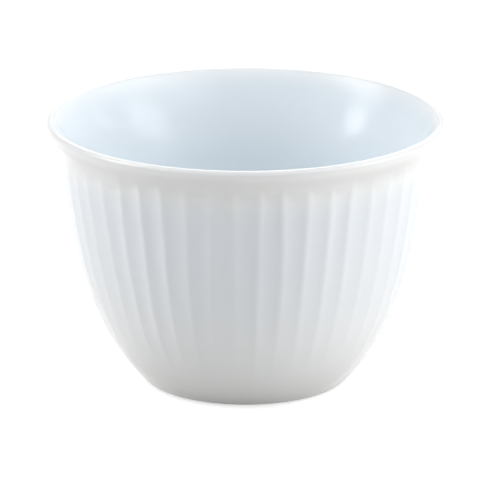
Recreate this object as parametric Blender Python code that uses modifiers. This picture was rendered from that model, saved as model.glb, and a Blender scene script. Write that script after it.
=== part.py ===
# Custard cup: a fluted porcelain body with its glaze coats, metres, +Z up, standing on Z = 0.
import math

import bmesh
import bpy
from mathutils import Vector

MM = 0.001

# Overall form, measured over the glaze
RIM_DIAMETER = 90.0 * MM
HEIGHT = 61.0 * MM
FOOT_DIAMETER = 42.0 * MM  # outer edge of the flat that the cup stands on
FOOT_ROUNDING = 4.0 * MM
WALL_START_ANGLE = math.radians(42.0)  # lean of the wall from upright, above the foot
NECK_ANGLE = math.radians(7.5)  # lean of the wall from upright, below the lip
LOWER_REACH = 18.0 * MM  # how far the wall keeps its lower lean
UPPER_REACH = 23.0 * MM  # how far down the wall keeps its upper lean

# Lip
LIP_THICKNESS = 2.0 * MM
FLARE_WIDTH = 2.85 * MM  # how far the lip stands out from the neck
FLARE_HEIGHT = 8.0 * MM
FLARE_LOWER_REACH = 4.0 * MM
FLARE_UPPER_REACH = 2.5 * MM
INNER_FLARE_HEIGHT = 20.0 * MM  # from the rim down to where the inside begins to open out
INNER_FLARE_LOWER_REACH = 7.0 * MM
INNER_FLARE_UPPER_REACH = 3.0 * MM
GLAZE_JOIN_ANGLE = math.radians(135.0)  # where the two coats meet, from the lip's outermost point

# Wall, floor and foot
WALL = 4.0 * MM  # over both glazes, below the inner flare
FLOOR = 4.0 * MM  # from the roof of the foot recess to the top of the floor
FLOOR_FILLET = 14.0 * MM
FOOT_RING_WIDTH = 3.0 * MM
FOOT_RECESS = 1.5 * MM
RECESS_SLOPE = math.radians(45.0)

# Glaze
GLAZE = 0.25 * MM
BOND = 0.02 * MM  # clearance between glaze and clay, and between two coats
BARE_FOOT_HEIGHT = 0.6 * MM  # the clay is wiped bare up to here

# Flutes
FLUTE_COUNT = 48
FLUTE_DEPTH = 0.30 * MM
FLUTE_FOOT_HEIGHT = 7.5 * MM  # height at which the flutes fade in
FLUTE_FADE = 42.0 * MM  # height over which they reach their depth
FLUTE_SHOULDER = 2.5 * MM  # height over which they end below the lip

# Fineness of the meshes
FLUTE_COLUMN_COUNT = 3
LIP_BAND_COUNT = 3
FLARE_BAND_COUNT = 3
FLUTE_BAND_COUNT = 5
LOWER_WALL_BAND_COUNT = 2
FOOT_BAND_COUNT = 2
FILLET_BAND_COUNT = 3
INNER_WALL_BAND_COUNT = 3
INNER_FLARE_BAND_COUNT = 5
SHARP_ANGLE = math.radians(40.0)

OUTER_STEPS = FLUTE_COUNT * FLUTE_COLUMN_COUNT
INNER_STEPS = FLUTE_COUNT
RIDGE_ANGLE = math.pi / FLUTE_COUNT  # from the trough at +X to the ridge beside it


def direction(angle):
    return Vector((math.cos(angle), math.sin(angle)))


class Curve:
    """A cubic curve in the (radius, height) plane that runs upwards, its outward side away from the axis."""

    def __init__(self, start, start_handle, end_handle, end):
        self.points = (start, start + start_handle, end - end_handle, end)

    def at(self, t):
        a, b, c, d = self.points
        s = 1.0 - t
        return a * s**3 + b * (3 * s * s * t) + c * (3 * s * t * t) + d * t**3

    def run(self, t):
        a, b, c, d = self.points
        s = 1.0 - t
        return ((b - a) * (s * s) + (c - b) * (2 * s * t) + (d - c) * (t * t)).normalized()

    def outward(self, t):
        run = self.run(t)
        return Vector((run.y, -run.x))

    def inset(self, t, depth):
        return self.at(t) - self.outward(t) * depth

    def where_height(self, height, depth=0.0):
        """The t at which the curve, inset by depth, is at a height."""
        low, high = 0.0, 1.0
        for _ in range(50):
            middle = (low + high) / 2
            if self.inset(middle, depth).y < height:
                low = middle
            else:
                high = middle
        return (low + high) / 2


def steps_between(first, last, count):
    return [first + (last - first) * i / count for i in range(count + 1)]


# Places that several outlines share
FOOT_CENTRE = Vector((FOOT_DIAMETER / 2, FOOT_ROUNDING))
LIP_RADIUS = LIP_THICKNESS / 2
LIP_CENTRE = Vector((RIM_DIAMETER / 2 - LIP_RADIUS, HEIGHT - LIP_RADIUS))
NECK = Vector((RIM_DIAMETER / 2 - FLARE_WIDTH, HEIGHT - FLARE_HEIGHT))
NECK_RUN = direction(math.pi / 2 - NECK_ANGLE)
FLOOR_TOP = FOOT_RECESS + FLOOR
BARE_ANGLE = math.asin(1.0 - BARE_FOOT_HEIGHT / FOOT_ROUNDING)  # below level, on the foot's rounding

WALL_CURVE = Curve(
    FOOT_CENTRE + direction(-WALL_START_ANGLE) * (FOOT_ROUNDING + GLAZE),
    direction(math.pi / 2 - WALL_START_ANGLE) * LOWER_REACH,
    NECK_RUN * UPPER_REACH,
    NECK,
)
FLARE_CURVE = Curve(
    NECK,
    NECK_RUN * FLARE_LOWER_REACH,
    Vector((0.0, FLARE_UPPER_REACH)),
    LIP_CENTRE + Vector((LIP_RADIUS, 0.0)),
)
INNER_FLARE_START = WALL_CURVE.where_height(HEIGHT - INNER_FLARE_HEIGHT, WALL)
INNER_FLARE_CURVE = Curve(
    WALL_CURVE.inset(INNER_FLARE_START, WALL),
    WALL_CURVE.run(INNER_FLARE_START) * INNER_FLARE_LOWER_REACH,
    direction(GLAZE_JOIN_ANGLE - math.pi / 2) * INNER_FLARE_UPPER_REACH,
    LIP_CENTRE + direction(GLAZE_JOIN_ANGLE) * LIP_RADIUS,
)


def eased(x):
    """From 0 to 1, quick at first and slow at the end."""
    return math.sin(min(max(x, 0.0), 1.0) * math.pi / 2)


def flute_strength(height):
    """Share of the flutes' full depth at a height on the outer wall."""
    rising = eased((height - FLUTE_FOOT_HEIGHT) / FLUTE_FADE)
    ending = eased((NECK.y - height) / FLUTE_SHOULDER)
    return rising * ending


def wall_places():
    """Places up the outer wall, as t on its curve, from the foot to the neck."""
    flute_foot = WALL_CURVE.where_height(FLUTE_FOOT_HEIGHT)
    heights = steps_between(FLUTE_FOOT_HEIGHT, NECK.y - FLUTE_SHOULDER, FLUTE_BAND_COUNT)
    fluted = [WALL_CURVE.where_height(height) for height in heights[1:]]
    return steps_between(0.0, flute_foot, LOWER_WALL_BAND_COUNT) + fluted + [1.0]


def outer_face(depth, end_gap=0.0):
    """The outside, inset by depth, from the lip down to the glaze's edge, as (point, flute share)."""
    lip_start = GLAZE_JOIN_ANGLE - end_gap / LIP_RADIUS
    lip = steps_between(lip_start, 0.0, LIP_BAND_COUNT)
    face = [(LIP_CENTRE + direction(angle) * (LIP_RADIUS - depth), 0.0) for angle in lip]
    for t in steps_between(1.0, 0.0, FLARE_BAND_COUNT)[1:-1]:
        face.append((FLARE_CURVE.inset(t, depth), 0.0))
    for t in reversed(wall_places()):
        face.append((WALL_CURVE.inset(t, depth), flute_strength(WALL_CURVE.at(t).y)))
    for angle in steps_between(WALL_START_ANGLE, BARE_ANGLE, FOOT_BAND_COUNT)[1:]:
        face.append((FOOT_CENTRE + direction(-angle) * (FOOT_ROUNDING + GLAZE - depth), 0.0))
    return face


def inner_face(depth):
    """The inside, set depth into the wall, from the middle of the floor up to the join on the lip."""
    turn = WALL_CURVE.where_height(FLOOR_TOP + FLOOR_FILLET, WALL + FLOOR_FILLET)
    centre = WALL_CURVE.inset(turn, WALL + FLOOR_FILLET)
    wall_angle = math.atan2(WALL_CURVE.outward(turn).y, WALL_CURVE.outward(turn).x)
    fillet = steps_between(-math.pi / 2, wall_angle, FILLET_BAND_COUNT)
    points = [Vector((0.0, FLOOR_TOP - depth))]
    points += [centre + direction(angle) * (FLOOR_FILLET + depth) for angle in fillet]
    for t in steps_between(turn, INNER_FLARE_START, INNER_WALL_BAND_COUNT)[1:]:
        points.append(WALL_CURVE.inset(t, WALL - depth))
    for t in steps_between(0.0, 1.0, INNER_FLARE_BAND_COUNT)[1:]:
        points.append(INNER_FLARE_CURVE.inset(t, -depth))
    return [(point, 0.0) for point in points]


def recess_corner(depth):
    """The corner between the roof of the foot recess and its sloping side, depth away from the clay."""
    side = FOOT_RECESS / math.tan(RECESS_SLOPE)
    radius = FOOT_DIAMETER / 2 - FOOT_RING_WIDTH - side
    return Vector((radius - depth * math.tan(RECESS_SLOPE / 2), FOOT_RECESS - depth))


def recess_edge(depth):
    """The edge of the glaze on the sloping side of the recess, depth away from the clay."""
    side = BARE_FOOT_HEIGHT / math.tan(RECESS_SLOPE)
    on_clay = Vector((FOOT_DIAMETER / 2 - FOOT_RING_WIDTH - side, BARE_FOOT_HEIGHT))
    return on_clay - direction(math.pi / 2 - RECESS_SLOPE) * depth


def body_outline():
    bare = steps_between(BARE_ANGLE, math.pi / 2, FOOT_BAND_COUNT)
    under = [FOOT_CENTRE + direction(-angle) * FOOT_ROUNDING for angle in bare[1:]]
    under.append(Vector((FOOT_DIAMETER / 2 - FOOT_RING_WIDTH, 0.0)))
    under.append(recess_corner(0.0))
    under.append(Vector((0.0, FOOT_RECESS)))
    return inner_face(GLAZE) + outer_face(GLAZE)[1:] + [(point, 0.0) for point in under]


def outer_glaze_outline():
    return outer_face(0.0, BOND) + outer_face(GLAZE - BOND, BOND)[::-1]


def liner_outline():
    return inner_face(0.0) + inner_face(GLAZE - BOND)[::-1]


def recess_glaze_outline():
    clay_side = [Vector((0.0, FOOT_RECESS - BOND)), recess_corner(BOND), recess_edge(BOND)]
    open_side = [recess_edge(GLAZE), recess_corner(GLAZE), Vector((0.0, FOOT_RECESS - GLAZE))]
    return [(point, 0.0) for point in clay_side + open_side]


def glazed_material(name, colour, roughness):
    material = bpy.data.materials.new(name)
    material.use_nodes = True
    shader = material.node_tree.nodes["Principled BSDF"]
    shader.inputs["Base Color"].default_value = (*colour, 1.0)
    shader.inputs["Roughness"].default_value = roughness
    shader.inputs["Metallic"].default_value = 0.0
    material.diffuse_color = (*colour, 1.0)
    return material


def turned(name, outline, steps, ring_closed, collection):
    """An object whose outline of (point, flute share) is turned about Z, starting on a ridge."""
    mesh = bpy.data.meshes.new(name)
    ridge = direction(RIDGE_ANGLE)
    points = [(point.x * ridge.x, point.x * ridge.y, point.y) for point, _ in outline]
    edges = [(i, i + 1) for i in range(len(points) - 1)]
    if ring_closed:
        edges.append((len(points) - 1, 0))
    mesh.from_pydata(points, edges, [])
    share = mesh.attributes.new("flute_share", "FLOAT", "POINT")
    share.data.foreach_set("value", [value for _, value in outline])
    piece = bpy.data.objects.new(name, mesh)
    collection.objects.link(piece)
    screw = piece.modifiers.new("turn", "SCREW")
    screw.axis = "Z"
    screw.angle = math.tau
    screw.steps = steps
    screw.render_steps = steps
    screw.use_merge_vertices = True
    screw.merge_threshold = 0.00001
    screw.use_smooth_shade = True
    return piece


def flute(piece):
    """Takes the turned shape as a mesh and draws its outer wall in to concave flutes."""
    bpy.context.view_layer.update()
    graph = bpy.context.evaluated_depsgraph_get()
    shape = bmesh.new()
    shape.from_mesh(piece.evaluated_get(graph).data)
    share = shape.verts.layers.float["flute_share"]
    for vertex in shape.verts:
        radius = vertex.co.xy.length
        turn = math.atan2(vertex.co.y, vertex.co.x) / math.tau * FLUTE_COUNT
        across = 2.0 * (turn - round(turn))  # -1 and 1 on the ridges, 0 in the trough
        drawn_in = FLUTE_DEPTH * vertex[share] * (1.0 - across * across)
        if drawn_in > 0.0:
            vertex.co.xy *= 1.0 - drawn_in / radius
    # The coat and the clay under it are split the same way, so their facets stay parallel
    bmesh.ops.triangulate(shape, faces=shape.faces, quad_method="SHORT_EDGE")
    piece.modifiers.clear()
    shape.to_mesh(piece.data)
    shape.free()


def finish(piece, material, origin):
    piece.data.materials.append(material)
    piece.data.shade_smooth()
    piece.data.set_sharp_from_angle(angle=SHARP_ANGLE)
    piece.parent = origin


def main():
    for old in list(bpy.data.objects):
        bpy.data.objects.remove(old, do_unlink=True)
    collection = bpy.data.collections.new("custard_cup")
    bpy.context.scene.collection.children.link(collection)
    origin = bpy.data.objects.new("cup_origin", None)
    collection.objects.link(origin)

    biscuit = glazed_material("bare_porcelain", (0.80, 0.78, 0.74), 0.75)
    white_glaze = glazed_material("white_glaze", (0.80, 0.82, 0.82), 0.10)
    blue_white_glaze = glazed_material("blue_white_glaze", (0.72, 0.80, 0.84), 0.08)

    body = turned("porcelain_body", body_outline(), OUTER_STEPS, False, collection)
    flute(body)
    finish(body, biscuit, origin)

    outer_glaze = turned("outer_glaze", outer_glaze_outline(), OUTER_STEPS, True, collection)
    flute(outer_glaze)
    finish(outer_glaze, white_glaze, origin)

    liner = turned("liner_glaze", liner_outline(), INNER_STEPS, False, collection)
    finish(liner, blue_white_glaze, origin)

    recess = turned("foot_recess_glaze", recess_glaze_outline(), INNER_STEPS, False, collection)
    finish(recess, white_glaze, origin)


main()
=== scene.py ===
import math
import random

import bmesh
import bpy
from mathutils import Matrix, Vector, noise


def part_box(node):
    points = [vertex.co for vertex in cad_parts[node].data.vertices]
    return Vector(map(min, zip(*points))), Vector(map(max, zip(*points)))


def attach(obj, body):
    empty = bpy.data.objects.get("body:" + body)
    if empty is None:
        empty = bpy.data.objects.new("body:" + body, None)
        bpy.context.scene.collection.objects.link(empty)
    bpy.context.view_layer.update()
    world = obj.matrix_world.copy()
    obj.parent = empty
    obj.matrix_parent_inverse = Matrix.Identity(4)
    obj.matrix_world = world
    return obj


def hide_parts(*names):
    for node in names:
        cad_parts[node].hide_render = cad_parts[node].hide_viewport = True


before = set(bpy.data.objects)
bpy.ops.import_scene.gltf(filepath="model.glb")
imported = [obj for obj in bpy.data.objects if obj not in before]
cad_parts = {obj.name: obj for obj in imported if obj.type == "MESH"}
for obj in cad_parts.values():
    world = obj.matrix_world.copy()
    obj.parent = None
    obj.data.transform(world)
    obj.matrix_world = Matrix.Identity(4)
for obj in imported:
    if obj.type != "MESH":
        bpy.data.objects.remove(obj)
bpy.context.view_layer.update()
studio = bpy.context.scene
print("frame loaded with", len(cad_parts), "nodes")

mm = 0.001
mergeDistance = 0.001 * mm
sharpAngle = math.radians(50.0)
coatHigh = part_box("outer_glaze")[1]
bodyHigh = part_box("porcelain_body")[1]

# the cup's turned form, over the glaze
cup = {
    "rimRadius": coatHigh.x,
    "height": coatHigh.z,
    "footRadius": 21.0 * mm,  # outer edge of the flat it stands on
    "footRounding": 4.0 * mm,
    "wallLean": math.radians(42.0),  # from upright, just above the foot
    "neckLean": math.radians(7.5),  # from upright, just below the lip
    "lowerReach": 18.0 * mm,  # pull of the wall's curve at its lower end
    "upperReach": 23.0 * mm,
    "lipRadius": 1.0 * mm,
    "flareWidth": 2.85 * mm,
    "flareHeight": 8.0 * mm,
    "flareLowReach": 4.0 * mm,
    "flareHighReach": 2.5 * mm,
    "joinAngle": math.radians(135.0),  # where the two coats meet on the lip
    "wall": 4.0 * mm,
    "innerFlareHeight": 20.0 * mm,  # below the top of the lip, where the inside leaves the outside's curve
    "innerLowReach": 7.0 * mm,
    "innerHighReach": 3.0 * mm,
    "floorTop": 5.5 * mm,
    "floorFillet": 14.0 * mm,
    "ringWidth": 3.0 * mm,
    "recess": 1.5 * mm,
    "recessSlope": math.radians(45.0),
    "glaze": coatHigh.x - bodyHigh.x,
    "bareHeight": 0.6 * mm,  # the foot is wiped bare up to here
    "bond": 0.02 * mm,  # left between a coat and the clay
}


def turn(angle):
    return Vector((math.cos(angle), math.sin(angle)))


def spread(first, last, count):
    return [first + (last - first) * i / count for i in range(count + 1)]


def smooth(x):
    x = min(max(x, 0.0), 1.0)
    return x * x * (3.0 - 2.0 * x)


# a cubic curve in the radius and height plane, given by its four points
def onCurve(curve, t):
    a, b, c, d = curve
    s = 1.0 - t
    return a * s**3 + b * (3 * s * s * t) + c * (3 * s * t * t) + d * t**3


def along(curve, t):
    a, b, c, d = curve
    s = 1.0 - t
    return ((b - a) * (s * s) + (c - b) * (2 * s * t) + (d - c) * (t * t)).normalized()


def outward(curve, t):
    run = along(curve, t)
    return Vector((run.y, -run.x))


def inset(curve, t, depth):
    return onCurve(curve, t) - outward(curve, t) * depth


# the place on a curve at a height, found by halving
def whereHeight(curve, height, depth=0.0):
    low, high = 0.0, 1.0
    for _ in range(40):
        middle = (low + high) / 2
        if inset(curve, middle, depth).y < height:
            low = middle
        else:
            high = middle
    return (low + high) / 2


footCentre = Vector((cup["footRadius"], cup["footRounding"]))
lipCentre = Vector((cup["rimRadius"] - cup["lipRadius"], cup["height"] - cup["lipRadius"]))
neck = Vector((cup["rimRadius"] - cup["flareWidth"], cup["height"] - cup["flareHeight"]))
neckRun = turn(math.pi / 2 - cup["neckLean"])
bareAngle = math.asin(1.0 - cup["bareHeight"] / cup["footRounding"])

wallStart = footCentre + turn(-cup["wallLean"]) * (cup["footRounding"] + cup["glaze"])
wallCurve = (
    wallStart,
    wallStart + turn(math.pi / 2 - cup["wallLean"]) * cup["lowerReach"],
    neck - neckRun * cup["upperReach"],
    neck,
)
lipSide = lipCentre + Vector((cup["lipRadius"], 0.0))
flareCurve = (
    neck,
    neck + neckRun * cup["flareLowReach"],
    lipSide - Vector((0.0, cup["flareHighReach"])),
    lipSide,
)
innerStart = whereHeight(wallCurve, cup["height"] - cup["innerFlareHeight"], cup["wall"])
innerLow = inset(wallCurve, innerStart, cup["wall"])
join = lipCentre + turn(cup["joinAngle"]) * cup["lipRadius"]
innerFlareCurve = (
    innerLow,
    innerLow + along(wallCurve, innerStart) * cup["innerLowReach"],
    join - turn(cup["joinAngle"] - math.pi / 2) * cup["innerHighReach"],
    join,
)


# outside, from the join on the lip down to the edge of the glaze
def outsideLine(depth, lipSteps, flareSteps, wallSteps, footSteps):
    crowding = 1.5  # above 1, the steps on the wall are closer near the neck
    lip = spread(cup["joinAngle"], 0.0, lipSteps)
    line = [lipCentre + turn(a) * (cup["lipRadius"] - depth) for a in lip]
    line += [inset(flareCurve, t, depth) for t in spread(1.0, 0.0, flareSteps)[1:-1]]
    line += [inset(wallCurve, 1.0 - s**crowding, depth) for s in spread(0.0, 1.0, wallSteps)]
    foot = spread(cup["wallLean"], bareAngle, footSteps)[1:]
    line += [footCentre + turn(-a) * (cup["footRounding"] + cup["glaze"] - depth) for a in foot]
    return line


# inside, from the middle of the floor up to the join on the lip
def insideLine(depth, floorSteps, filletSteps, wallSteps, flareSteps):
    deep = cup["wall"] + cup["floorFillet"]
    t0 = whereHeight(wallCurve, cup["floorTop"] + cup["floorFillet"], deep)
    centre = inset(wallCurve, t0, deep)
    out = outward(wallCurve, t0)
    fillet = spread(-math.pi / 2, math.atan2(out.y, out.x), filletSteps)
    line = [Vector((centre.x * i / floorSteps, cup["floorTop"] - depth)) for i in range(floorSteps)]
    line += [centre + turn(a) * (cup["floorFillet"] + depth) for a in fillet]
    line += [inset(wallCurve, t, cup["wall"] - depth) for t in spread(t0, innerStart, wallSteps)[1:]]
    line += [inset(innerFlareCurve, t, -depth) for t in spread(0.0, 1.0, flareSteps)[1:]]
    return line


# a round edge for a coat, from its open side to its clay side
def bead(edge, outwards, onwards, steps):
    half = (cup["glaze"] - cup["bond"]) / 2
    middle = edge - outwards * half
    turns = spread(0.0, math.pi, steps)[1:-1]
    return [middle + (outwards * math.cos(a) + onwards * math.sin(a)) * half for a in turns]


# the flutes: concave scallops that fade in above the foot and end in round heads under the lip
flutes = {
    "count": 48,
    "depth": 0.28 * mm,
    "hollow": 3.0,  # 2 for round hollows, more for flat ones with steep sides
    "sideLoss": 0.6,  # share of the depth lost at the two sides, towards the seams of the mould
    "sideStart": 0.55,
    "foot": 7.5 * mm,
    "fade": 42.0 * mm,  # height over which a flute deepens from its foot
    "head": 56.8 * mm,
    "headSpread": 3.0 * mm,  # how far below that the lowest heads end
    "ridgeSoft": 0.10,  # share of a flute's width that the glaze rounds its ridges by
    "depthSpread": 0.30,
    "footSpread": 4.0 * mm,
    "wander": 0.14,  # how far a ridge strays sideways, as a share of a flute's width
    "wanderLength": 26.0 * mm,
    "wanderStep": 3.7,  # keeps two ridges from wandering alike
    "seed": 193804,
    "poolEven": 0.85,  # share of the pooled tint that lies evenly over the fluted part
    "poolFade": 10.0 * mm,  # how far below the heads it is at its full strength
    "skin": 4.0,  # points up to this many coats deep move with the outer wall
}
dice = random.Random(flutes["seed"])
each = range(flutes["count"])
fluteDepths = [1.0 + dice.uniform(-1.0, 1.0) * flutes["depthSpread"] for _ in each]
fluteFeet = [flutes["foot"] + dice.uniform(-1.0, 1.0) * flutes["footSpread"] for _ in each]
fluteHeads = [flutes["head"] - dice.random() * flutes["headSpread"] for _ in each]


# a straight rise from nothing, with a round start
def soft(x, width):
    return math.sqrt(x * x + width * width) - width


# how far up its fade a flute is, at a height
def fluteRise(height, foot):
    x = min(max((height - foot) / flutes["fade"], 0.0), 1.0)
    return math.sin(x * math.pi / 2)


# what is left of the depth round the cup, from the front and the back to the two sides
def sideShare(place):
    sideways = abs(math.cos(place / flutes["count"] * math.tau))
    return 1.0 - flutes["sideLoss"] * smooth((sideways - flutes["sideStart"]) / (1.0 - flutes["sideStart"]))


# share of the full depth at a place, counted in flutes around the axis
def fluteShare(place, radius, height):
    nearest = round(place)
    one = nearest % flutes["count"]
    toRidge = 0.5 - abs(place - nearest)
    pitch = math.tau * radius / flutes["count"]
    toHead = (fluteHeads[one] - height) / pitch
    if toHead <= 0.0:
        return 0.0
    tiny = 1e-6
    # the lesser of the two, blended where they meet, which rounds the head
    inside = 1.0 / (1.0 / max(toRidge, tiny) ** 3 + 1.0 / (toHead + tiny) ** 3) ** (1.0 / 3.0)
    v = soft(inside, flutes["ridgeSoft"])
    hollow = 1.0 - (1.0 - 2.0 * v) ** flutes["hollow"]
    return hollow * fluteRise(height, fluteFeet[one]) * fluteDepths[one] * sideShare(place)


# how far a ridge strays at a height, in flutes
def ridgeWander(ridge, height):
    place = Vector((ridge % flutes["count"] * flutes["wanderStep"], height / flutes["wanderLength"], 0.5))
    return noise.noise(place) * flutes["wander"]


# how far a place is carried sideways by the ridges beside it, in flutes
def strayed(place, height):
    ridge = math.floor(place - 0.5)
    share = place - 0.5 - ridge
    return ridgeWander(ridge, height) * (1.0 - share) + ridgeWander(ridge + 1, height) * share


# turns a line into one sector, then copies the sector round
def spun(line, sectors, perSector, ringClosed):
    bm = bmesh.new()
    verts = [bm.verts.new((p.x, 0.0, p.y)) for p in line]
    edges = [bm.edges.new(pair) for pair in zip(verts, verts[1:])]
    if ringClosed:
        edges.append(bm.edges.new((verts[-1], verts[0])))
    around = {"cent": (0, 0, 0), "axis": (0, 0, 1)}
    sector = math.tau / sectors
    bmesh.ops.spin(bm, geom=verts + edges, angle=sector, steps=perSector, **around)
    whole = bm.verts[:] + bm.edges[:] + bm.faces[:]
    rest = math.tau - sector
    bmesh.ops.spin(bm, geom=whole, angle=rest, steps=sectors - 1, use_duplicate=True, **around)
    bmesh.ops.remove_doubles(bm, verts=bm.verts, dist=mergeDistance)
    bmesh.ops.recalc_face_normals(bm, faces=bm.faces)
    return bm


# how much glaze lies at a place on the fluted part, with the most in the hollows
def pooled(share, height):
    part = fluteRise(height, flutes["foot"]) * smooth((flutes["head"] - height) / flutes["poolFade"])
    return part * flutes["poolEven"] + share * (1.0 - flutes["poolEven"])


# draws the outer wall in to its flutes and keeps where the glaze pools
def cutFlutes(bm):
    poolAndPaintedLight = bm.verts.layers.float.new("poolAndPaintedLight")
    skin = flutes["skin"] * cup["glaze"]
    outerSide = {}
    for v in bm.verts:
        height = round(v.co.z, 7)
        if height > flutes["head"] or height < flutes["foot"] - flutes["footSpread"]:
            continue
        if height not in outerSide:
            curve = wallCurve if height < neck.y else flareCurve
            outerSide[height] = onCurve(curve, whereHeight(curve, height)).x - skin
        radius = v.co.xy.length
        if radius < outerSide[height]:
            continue
        place = math.atan2(v.co.y, v.co.x) / math.tau * flutes["count"]
        share = fluteShare(place, radius, height)
        v[poolAndPaintedLight] = pooled(share, height)
        rise = fluteRise(height, flutes["foot"])
        carried = strayed(place, height) * rise * math.tau / flutes["count"]
        v.co = Matrix.Rotation(carried, 3, "Z") @ v.co
        v.co.xy *= 1.0 - flutes["depth"] * share / radius


# keeps a value for each point in an attribute that the glaze reads
def mark(bm, name, rule):
    layer = bm.verts.layers.float.new(name)
    for v in bm.verts:
        v[layer] = rule(v.co)


# how near a point is to the top of the lip
def lipShare(reach):
    return lambda co: smooth(1.0 - (cup["height"] - co.z) / reach)


# a piece of mesh that rides on the cup and stands for one of its solids
def piece(bm, name, material, node):
    mesh = bpy.data.meshes.new(name)
    bm.to_mesh(mesh)
    bm.free()
    obj = bpy.data.objects.new(name, mesh)
    studio.collection.objects.link(obj)
    mesh.materials.append(material)
    mesh.shade_smooth()
    mesh.set_sharp_from_angle(angle=sharpAngle)
    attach(obj, "root")
    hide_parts(node)
    print(name, "made with", len(mesh.polygons), "faces")


def addNode(tree, kind, values=None, **settings):
    new = tree.nodes.new("ShaderNode" + kind)
    for key, value in settings.items():
        setattr(new, key, value)
    for key, value in (values or {}).items():
        new.inputs[key].default_value = value
    return new


def newGroup(name, inputs, outputs):
    group = bpy.data.node_groups.new(name, "ShaderNodeTree")
    for label, kind in inputs.items():
        group.interface.new_socket(label, in_out="INPUT", socket_type="NodeSocket" + kind)
    for label, kind in outputs.items():
        group.interface.new_socket(label, in_out="OUTPUT", socket_type="NodeSocket" + kind)
    return group, group.nodes.new("NodeGroupInput"), group.nodes.new("NodeGroupOutput")


def mixColours(tree, share, first, second):
    mix = addNode(tree, "Mix", data_type="RGBA")
    tree.links.new(share, mix.inputs["Factor"])
    for socket, colour in (("A", first), ("B", second)):
        place = [s for s in mix.inputs if s.name == socket and s.type == "RGBA"][0]
        if isinstance(colour, tuple):
            place.default_value = (*colour, 1.0)
        else:
            tree.links.new(colour, place)
    return [s for s in mix.outputs if s.type == "RGBA"][0]


# glaze colour: a tint where it pools, which in the bowl is painted light making the lower inside paler;
# painted shade on the top of the outer lip and painted light near the rim inside; painted shade near the
# foot; a little cloudy all over
def buildGlazeTint():
    group, given, result = newGroup(
        "glazeTint",
        {
            "Thin": "Color",
            "Pooled Glaze And Painted Light": "Color",
            "Lip": "Color",
            "Foot Painted Shade": "Color",
            "Cloud Size": "Float",
            "Cloud Share": "Float",
        },
        {"Colour": "Color"},
    )
    link = group.links.new
    coords = addNode(group, "TexCoord")
    poolAndPaintedLight = addNode(group, "Attribute", attribute_name="poolAndPaintedLight")
    lip = addNode(group, "Attribute", attribute_name="lip")
    foot = addNode(group, "Attribute", attribute_name="foot")
    cloud = addNode(group, "TexNoise", {"Detail": 3.0, "Roughness": 0.55})
    link(coords.outputs["Object"], cloud.inputs["Vector"])
    link(given.outputs["Cloud Size"], cloud.inputs["Scale"])
    centred = addNode(group, "Math", {1: 0.5}, operation="SUBTRACT")
    link(cloud.outputs["Fac"], centred.inputs[0])
    depth = addNode(group, "Math", operation="MULTIPLY_ADD", use_clamp=True)
    link(centred.outputs["Value"], depth.inputs[0])
    link(given.outputs["Cloud Share"], depth.inputs[1])
    link(poolAndPaintedLight.outputs["Fac"], depth.inputs[2])
    body = mixColours(group, depth.outputs["Value"], given.outputs["Thin"], given.outputs["Pooled Glaze And Painted Light"])
    body = mixColours(group, foot.outputs["Fac"], body, given.outputs["Foot Painted Shade"])
    link(mixColours(group, lip.outputs["Fac"], body, given.outputs["Lip"]), result.inputs["Colour"])
    return group


# slow ripple and fine orange peel of a fired glaze
def buildGlazeRipple():
    group, given, result = newGroup(
        "glazeRipple",
        {"Ripple Size": "Float", "Peel Size": "Float", "Peel Share": "Float"},
        {"Height": "Float", "Gloss": "Float"},
    )
    link = group.links.new
    coords = addNode(group, "TexCoord")
    ripple = addNode(group, "TexNoise", {"Detail": 1.0})
    peel = addNode(group, "TexNoise", {"Detail": 2.0})
    for noiseNode, size in ((ripple, "Ripple Size"), (peel, "Peel Size")):
        link(coords.outputs["Object"], noiseNode.inputs["Vector"])
        link(given.outputs[size], noiseNode.inputs["Scale"])
    height = addNode(group, "Math", operation="MULTIPLY_ADD")
    link(peel.outputs["Fac"], height.inputs[0])
    link(given.outputs["Peel Share"], height.inputs[1])
    link(ripple.outputs["Fac"], height.inputs[2])
    link(height.outputs["Value"], result.inputs["Height"])
    link(peel.outputs["Fac"], result.inputs["Gloss"])
    return group


# a few iron specks and pinholes, left by the kiln
def buildKilnSpecks():
    group, given, result = newGroup(
        "kilnSpecks",
        {"Per Metre": "Float", "Share": "Float", "Radius": "Float"},
        {"Mask": "Float"},
    )
    link = group.links.new
    coords = addNode(group, "TexCoord")
    cells = addNode(group, "TexVoronoi")
    link(coords.outputs["Object"], cells.inputs["Vector"])
    link(given.outputs["Per Metre"], cells.inputs["Scale"])
    chance = addNode(group, "SeparateColor")
    link(cells.outputs["Color"], chance.inputs["Color"])
    chosen = addNode(group, "Math", operation="LESS_THAN")
    link(chance.outputs["Red"], chosen.inputs[0])
    link(given.outputs["Share"], chosen.inputs[1])
    dot = addNode(group, "MapRange", {"To Min": 1.0, "To Max": 0.0}, interpolation_type="SMOOTHSTEP")
    link(cells.outputs["Distance"], dot.inputs["Value"])
    link(given.outputs["Radius"], dot.inputs["From Max"])
    mask = addNode(group, "Math", operation="MULTIPLY")
    link(chosen.outputs["Value"], mask.inputs[0])
    link(dot.outputs["Result"], mask.inputs[1])
    link(mask.outputs["Value"], result.inputs["Mask"])
    return group


glazeTint = buildGlazeTint()
glazeRipple = buildGlazeRipple()
kilnSpecks = buildKilnSpecks()


def newMaterial(name, constants):
    material = bpy.data.materials.new(name)
    material.use_nodes = True
    tree = material.node_tree
    shader = tree.nodes["Principled BSDF"]
    for key, value in constants.items():
        shader.inputs[key].default_value = value
    return material, tree, shader


def useGroup(tree, group, values):
    new = addNode(tree, "Group", node_tree=group)
    for key, value in values.items():
        new.inputs[key].default_value = (*value, 1.0) if isinstance(value, tuple) else value
    return new


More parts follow.
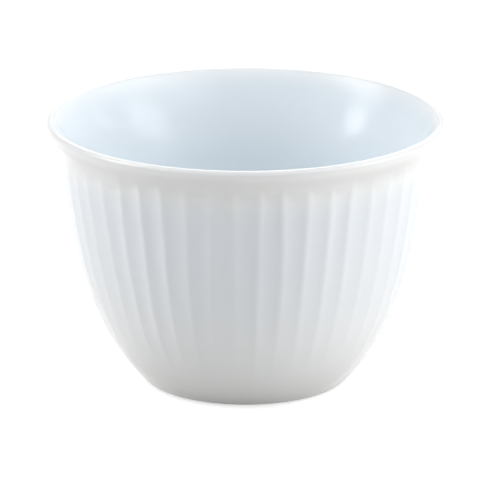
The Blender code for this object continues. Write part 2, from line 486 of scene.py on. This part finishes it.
def glaze(name, look):
    material, tree, shader = newMaterial(name, {"IOR": look["ior"]})
    link = tree.links.new
    tint = useGroup(tree, glazeTint, look["tint"])
    ripple = useGroup(tree, glazeRipple, look["ripple"])
    specks = useGroup(tree, kilnSpecks, look["specks"])
    specked = mixColours(tree, specks.outputs["Mask"], tint.outputs["Colour"], look["speckColour"])
    link(specked, shader.inputs["Base Color"])
    gloss = addNode(tree, "MapRange", {"To Min": look["roughness"][0], "To Max": look["roughness"][1]})
    link(ripple.outputs["Gloss"], gloss.inputs["Value"])
    link(gloss.outputs["Result"], shader.inputs["Roughness"])
    bump = addNode(tree, "Bump", {"Strength": 1.0, "Distance": look["rippleHeight"]})
    link(ripple.outputs["Height"], bump.inputs["Height"])
    link(bump.outputs["Normal"], shader.inputs["Normal"])
    return material


whiteGlazeLook = {
    "tint": {
        "Thin": (0.858, 0.864, 0.852),
        "Pooled Glaze And Painted Light": (0.765, 0.803, 0.845),
        # the lip tint below is painted shade darkening the top of the lip; the foot tint is painted shade
        # darkening the lower wall towards the foot
        "Lip": (0.765, 0.777, 0.790),
        "Foot Painted Shade": (0.660, 0.660, 0.650),
        "Cloud Size": 45.0,
        "Cloud Share": 0.30,
    },
    "ripple": {"Ripple Size": 110.0, "Peel Size": 700.0, "Peel Share": 0.06},
    "rippleHeight": 0.05 * mm,
    "specks": {"Per Metre": 260.0, "Share": 0.05, "Radius": 0.035},
    "speckColour": (0.62, 0.58, 0.52),
    "roughness": (0.10, 0.20),
    "ior": 1.5,
}
blueGlazeLook = {
    "tint": {
        "Thin": (0.736, 0.796, 0.843),
        # in the bowl the pooled tint is lighter than the thin one: painted light on the lower inside; the
        # lip tint is paler, partly the blue meeting the white glaze, partly painted light near the rim
        "Pooled Glaze And Painted Light": (0.800, 0.850, 0.888),
        "Lip": (0.810, 0.845, 0.870),
        "Cloud Size": 40.0,
        "Cloud Share": 0.35,
    },
    "ripple": {"Ripple Size": 90.0, "Peel Size": 700.0, "Peel Share": 0.06},
    "rippleHeight": 0.04 * mm,
    "specks": {"Per Metre": 240.0, "Share": 0.04, "Radius": 0.035},
    "speckColour": (0.58, 0.58, 0.56),
    "roughness": (0.10, 0.20),
    "ior": 1.36,
}
whiteGlaze = glaze("whiteGlaze", whiteGlazeLook)
blueGlaze = glaze("blueGlaze", blueGlazeLook)

bareClayLook = {
    "pale": (0.80, 0.78, 0.74),
    "dark": (0.70, 0.67, 0.62),
    "rubbed": (0.50, 0.48, 0.45),  # on the flat that the cup slides on
    "rubbedShare": 0.8,
    "rubbedHeight": 0.12 * mm,
    "grainSize": 2600.0,
    "blotchSize": 160.0,
    "grainHeight": 0.04 * mm,
    "specks": {"Per Metre": 500.0, "Share": 0.10, "Radius": 0.09},
    "speckColour": (0.42, 0.34, 0.27),
    "roughness": (0.70, 0.92),
    "ior": 1.5,
}


# wiped, unglazed clay with its grain, rubbed grey where it stands
def buildBareClay(look):
    material, tree, shader = newMaterial("bareClay", {"IOR": look["ior"]})
    link = tree.links.new
    coords = addNode(tree, "TexCoord")
    grain = addNode(tree, "TexNoise", {"Scale": look["grainSize"], "Detail": 4.0})
    blotch = addNode(tree, "TexNoise", {"Scale": look["blotchSize"], "Detail": 3.0})
    for noiseNode in (grain, blotch):
        link(coords.outputs["Object"], noiseNode.inputs["Vector"])
    clay = mixColours(tree, blotch.outputs["Fac"], look["pale"], look["dark"])
    height = addNode(tree, "SeparateXYZ")
    link(coords.outputs["Object"], height.inputs["Vector"])
    fade = {"From Max": look["rubbedHeight"], "To Min": look["rubbedShare"], "To Max": 0.0}
    low = addNode(tree, "MapRange", fade)
    link(height.outputs["Z"], low.inputs["Value"])
    rub = addNode(tree, "Math", operation="MULTIPLY")
    link(low.outputs["Result"], rub.inputs[0])
    link(grain.outputs["Fac"], rub.inputs[1])
    worn = mixColours(tree, rub.outputs["Value"], clay, look["rubbed"])
    specks = useGroup(tree, kilnSpecks, look["specks"])
    link(mixColours(tree, specks.outputs["Mask"], worn, look["speckColour"]), shader.inputs["Base Color"])
    matt = addNode(tree, "MapRange", {"To Min": look["roughness"][0], "To Max": look["roughness"][1]})
    link(grain.outputs["Fac"], matt.inputs["Value"])
    link(matt.outputs["Result"], shader.inputs["Roughness"])
    bump = addNode(tree, "Bump", {"Strength": 1.0, "Distance": look["grainHeight"]})
    link(grain.outputs["Fac"], bump.inputs["Height"])
    link(bump.outputs["Normal"], shader.inputs["Normal"])
    return material


bareClay = buildBareClay(bareClayLook)
print("materials made")

# the coat outside, from the edge above the foot up over the lip
outerCoat = {
    "perFlute": 12,
    "steps": (28, 18, 56, 8),  # on the lip, the flare, the wall and the foot
    "hiddenSteps": (4, 3, 14, 2),  # the same on the side against the clay
    "bead": 6,
    "lipShadingReach": 2.0 * mm,
    "footShadeReach": 20.0 * mm,
}
coatDepth = cup["glaze"] - cup["bond"]
coatLine = outsideLine(0.0, *outerCoat["steps"])
coatLine += bead(coatLine[-1], turn(-bareAngle), turn(-bareAngle - math.pi / 2), outerCoat["bead"])
coatLine += outsideLine(coatDepth, *outerCoat["hiddenSteps"])[::-1]
bm = spun(coatLine, flutes["count"], outerCoat["perFlute"], True)
cutFlutes(bm)
# painted shade: darker on the top of the lip and on the lower wall towards the foot
mark(bm, "lip", lipShare(outerCoat["lipShadingReach"]))
mark(bm, "foot", lambda co: max(1.0 - co.z / outerCoat["footShadeReach"], 0.0) ** 2)
piece(bm, "outerGlazeCoat", whiteGlaze, "outer_glaze")

# the coat inside, with painted light that makes it paler towards the floor of the bowl
linerCoat = {
    "sectors": 48,
    "perSector": 6,
    "steps": (6, 16, 24, 36),  # on the floor, its round corner, the wall and the flare
    "hiddenSteps": (2, 6, 8, 12),
    "lipShadingReach": 4.0 * mm,
    "paintedLightHeight": 16.0 * mm,
}
linerLine = insideLine(0.0, *linerCoat["steps"])
linerLine += insideLine(coatDepth, *linerCoat["hiddenSteps"])[::-1]
bm = spun(linerLine, linerCoat["sectors"], linerCoat["perSector"], False)
# paler near the rim: partly the blue glaze meeting the white, partly painted light where the rim faces up
mark(bm, "lip", lipShare(linerCoat["lipShadingReach"]))
# painted light: paler towards the floor of the bowl
mark(bm, "poolAndPaintedLight", lambda co: smooth(1.0 - (co.z - cup["floorTop"]) / linerCoat["paintedLightHeight"]))
piece(bm, "linerGlazeCoat", blueGlaze, "liner_glaze")


# corner and edge of the glaze in the foot recess, a depth away from the clay
def recessCorner(depth):
    radius = cup["footRadius"] - cup["ringWidth"] - cup["recess"] / math.tan(cup["recessSlope"])
    return Vector((radius - depth * math.tan(cup["recessSlope"] / 2), cup["recess"] - depth))


def recessEdge(depth):
    radius = cup["footRadius"] - cup["ringWidth"] - cup["bareHeight"] / math.tan(cup["recessSlope"])
    return Vector((radius, cup["bareHeight"])) - turn(math.pi / 2 - cup["recessSlope"]) * depth


recessCoat = {
    "sectors": 48,
    "perSector": 4,
    "roof": 6,
    "corner": 6,
    "bead": 6,
    "cornerRadius": 1.0 * mm,
    "poolReach": 16.0 * mm,  # the glaze pools towards the corner
}
cornerReach = recessCoat["cornerRadius"] * math.tan(cup["recessSlope"] / 2)
recessUp = turn(math.pi / 2 - cup["recessSlope"])  # from the open side into the clay, on the sloping side
recessDown = turn(-cup["recessSlope"])  # along the sloping side, towards the ring
cornerCentre = recessCorner(cup["glaze"]) + Vector((-cornerReach, -recessCoat["cornerRadius"]))
cornerTurns = spread(math.pi / 2, math.pi / 2 - cup["recessSlope"], recessCoat["corner"])
roof = spread(0.0, cornerCentre.x, recessCoat["roof"])[:-1]
recessLine = [Vector((x, cup["recess"] - cup["glaze"])) for x in roof]
recessLine += [cornerCentre + turn(a) * recessCoat["cornerRadius"] for a in cornerTurns]
recessLine += [recessEdge(cup["glaze"])]
recessLine += bead(recessLine[-1], -recessUp, recessDown, recessCoat["bead"])
recessLine += [recessEdge(cup["bond"]), recessCorner(cup["bond"])]
recessLine += [Vector((0.0, cup["recess"] - cup["bond"]))]
bm = spun(recessLine, recessCoat["sectors"], recessCoat["perSector"], False)
mark(bm, "poolAndPaintedLight", lambda co: smooth(co.xy.length / recessCoat["poolReach"]))
piece(bm, "footRecessGlazeCoat", whiteGlaze, "foot_recess_glaze")

# the clay under the coats, bare at the foot ring
clayBody = {
    "perFlute": 8,
    "insideSteps": (3, 8, 10, 14),
    "outsideSteps": (8, 6, 24, 3),
    "bare": 8,
    "ringEdge": 5,
    "ringEdgeRadius": 0.5 * mm,
}
bodyLine = insideLine(cup["glaze"], *clayBody["insideSteps"])
bodyLine += outsideLine(cup["glaze"], *clayBody["outsideSteps"])[1:]
bareTurns = spread(bareAngle, math.pi / 2, clayBody["bare"])[1:]
bodyLine += [footCentre + turn(-a) * cup["footRounding"] for a in bareTurns]
edgeReach = clayBody["ringEdgeRadius"] * math.tan(cup["recessSlope"] / 2)
edgeCentre = Vector((cup["footRadius"] - cup["ringWidth"] + edgeReach, clayBody["ringEdgeRadius"]))
edgeTurns = spread(-math.pi / 2, -math.pi / 2 - cup["recessSlope"], clayBody["ringEdge"])
bodyLine += [edgeCentre + turn(a) * clayBody["ringEdgeRadius"] for a in edgeTurns]
bodyLine += [recessCorner(0.0), Vector((0.0, cup["recess"]))]
bm = spun(bodyLine, flutes["count"], clayBody["perFlute"], False)
cutFlutes(bm)
piece(bm, "porcelainClayBody", bareClay, "porcelain_body")

# camera at the photograph's angle, from a fit to the outline
view = {
    "distance": 1.0,
    "elevation": math.radians(16.98),
    "aim": Vector((-1.27 * mm, 0.0, 31.98 * mm)),
    "lens": 329.3,
    "sensor": 36.0,
    "near": 0.01,
    "far": 50.0,
}
cameraData = bpy.data.cameras.new("photoCamera")
cameraData.sensor_width = view["sensor"]
cameraData.lens = view["lens"]
cameraData.clip_start = view["near"]
cameraData.clip_end = view["far"]
camera = bpy.data.objects.new("photoCamera", cameraData)
back = Vector((0.0, -math.cos(view["elevation"]), math.sin(view["elevation"])))
camera.location = view["aim"] + back * view["distance"]
camera.rotation_euler = (-back).to_track_quat("-Z", "Y").to_euler()
studio.collection.objects.link(camera)
studio.camera = camera
studio.view_settings.view_transform = "Standard"
print("camera set")

# soft boxes round the cup: azimuth from the camera's side towards the right,
# sizes as angles seen from the cup, edge as the share of each side that fades
softBoxes = {
    "rightBox": {"azimuth": 75, "elevation": 40, "wide": 84, "tall": 50, "edge": 0.5, "level": 4.0},
    "rightFrontBox": {"azimuth": 35, "elevation": 32, "wide": 50, "tall": 32, "edge": 0.5, "level": 1.8},
    "rightMidBox": {"azimuth": 70, "elevation": 17, "wide": 44, "tall": 18, "edge": 0.4, "level": 5.2},
    "rightLowBox": {"azimuth": 95, "elevation": 7, "wide": 46, "tall": 12, "edge": 0.4, "level": 6.6},
    "rightFloorBox": {"azimuth": 70, "elevation": 5, "wide": 46, "tall": 10, "edge": 0.4, "level": 4.9},
    "leftBox": {"azimuth": -87, "elevation": 38, "wide": 44, "tall": 56, "edge": 0.4, "level": 6.0},
    "leftFrontBox": {"azimuth": -55, "elevation": 38, "wide": 36, "tall": 56, "edge": 0.5, "level": 1.5},
    "leftSmallBox": {"azimuth": -80, "elevation": 14, "wide": 22, "tall": 14, "edge": 0.35, "level": 6.8},
    "backBox": {"azimuth": 172, "elevation": 36, "wide": 80, "tall": 44, "edge": 0.5, "level": 3.4},
}
boxDistance = 1.5
cupMiddle = Vector((0.0, 0.0, cup["height"] / 2))


# lets a lamp fade towards its edges, as the cloth of a soft box does
def softenEdges(data, edge):
    data.use_nodes = True
    tree = data.node_tree
    link = tree.links.new
    emission = tree.nodes["Emission"]
    place = addNode(tree, "NewGeometry")
    parts = addNode(tree, "SeparateXYZ")
    link(place.outputs["Parametric"], parts.inputs["Vector"])
    both = addNode(tree, "Math", operation="MULTIPLY")
    for i, axis in enumerate("XY"):
        toEdge = addNode(tree, "Math", {1: 0.5}, operation="PINGPONG")
        link(parts.outputs[axis], toEdge.inputs[0])
        fade = addNode(tree, "MapRange", {"From Max": edge}, interpolation_type="SMOOTHSTEP")
        link(toEdge.outputs["Value"], fade.inputs["Value"])
        link(fade.outputs["Result"], both.inputs[i])
    link(both.outputs["Value"], emission.inputs["Strength"])


def addSoftBox(name, box):
    data = bpy.data.lights.new(name, "AREA")
    data.shape = "RECTANGLE"
    data.size = 2.0 * boxDistance * math.tan(math.radians(box["wide"] / 2))
    data.size_y = 2.0 * boxDistance * math.tan(math.radians(box["tall"] / 2))
    data.energy = box["level"] * math.pi * data.size * data.size_y
    softenEdges(data, box["edge"])
    lamp = bpy.data.objects.new(name, data)
    around, up = math.radians(box["azimuth"]), math.radians(box["elevation"])
    towards = Vector((math.sin(around) * math.cos(up), -math.cos(around) * math.cos(up), math.sin(up)))
    lamp.location = cupMiddle + towards * boxDistance
    lamp.rotation_euler = towards.to_track_quat("Z", "Y").to_euler()
    studio.collection.objects.link(lamp)


for name, box in softBoxes.items():
    addSoftBox(name, box)
print(len(softBoxes), "soft boxes set")


# one where a ray comes from the camera, from a reflection or through glass
def seenDirectly(tree):
    path = addNode(tree, "LightPath")
    seen = path.outputs["Is Camera Ray"]
    for other in ("Is Glossy Ray", "Is Transmission Ray"):
        either = addNode(tree, "Math", operation="MAXIMUM")
        tree.links.new(seen, either.inputs[0])
        tree.links.new(path.outputs[other], either.inputs[1])
        seen = either.outputs["Value"]
    return seen


# pale floor: white to the eye apart from the cup's shadow, and a duller bounce under the cup
floorLook = {"size": 4.0, "colour": (0.62, 0.62, 0.62), "white": 0.6}
bm = bmesh.new()
bmesh.ops.create_grid(bm, x_segments=1, y_segments=1, size=floorLook["size"])
floorMesh = bpy.data.meshes.new("studioFloor")
bm.to_mesh(floorMesh)
bm.free()
floor = bpy.data.objects.new("studioFloor", floorMesh)
studio.collection.objects.link(floor)
floorPale = bpy.data.materials.new("floorPale")
floorPale.use_nodes = True
floorMesh.materials.append(floorPale)
tree = floorPale.node_tree
tree.nodes.clear()
paint = addNode(tree, "BsdfDiffuse", {"Color": (*floorLook["colour"], 1.0)})
white = addNode(tree, "Emission", {"Strength": floorLook["white"]})
paintAndWhite = addNode(tree, "AddShader")
tree.links.new(paint.outputs["BSDF"], paintAndWhite.inputs[0])
tree.links.new(white.outputs["Emission"], paintAndWhite.inputs[1])
choose = addNode(tree, "MixShader")
tree.links.new(seenDirectly(tree), choose.inputs["Fac"])
tree.links.new(paint.outputs["BSDF"], choose.inputs[1])
tree.links.new(paintAndWhite.outputs["Shader"], choose.inputs[2])
output = addNode(tree, "OutputMaterial")
tree.links.new(choose.outputs["Shader"], output.inputs["Surface"])

# the room: white to the eye, dim as a light
roomLook = {"ambient": 0.2, "white": 1.0}
world = bpy.data.worlds.new("studioRoom")
studio.world = world
world.use_nodes = True
tree = world.node_tree
tree.nodes.clear()
dim = addNode(tree, "Background", {"Color": (1, 1, 1, 1), "Strength": roomLook["ambient"]})
bright = addNode(tree, "Background", {"Color": (1, 1, 1, 1), "Strength": roomLook["white"]})
choose = addNode(tree, "MixShader")
tree.links.new(seenDirectly(tree), choose.inputs["Fac"])
tree.links.new(dim.outputs["Background"], choose.inputs[1])
tree.links.new(bright.outputs["Background"], choose.inputs[2])
output = addNode(tree, "OutputWorld")
tree.links.new(choose.outputs["Shader"], output.inputs["Surface"])
print("floor and room set")
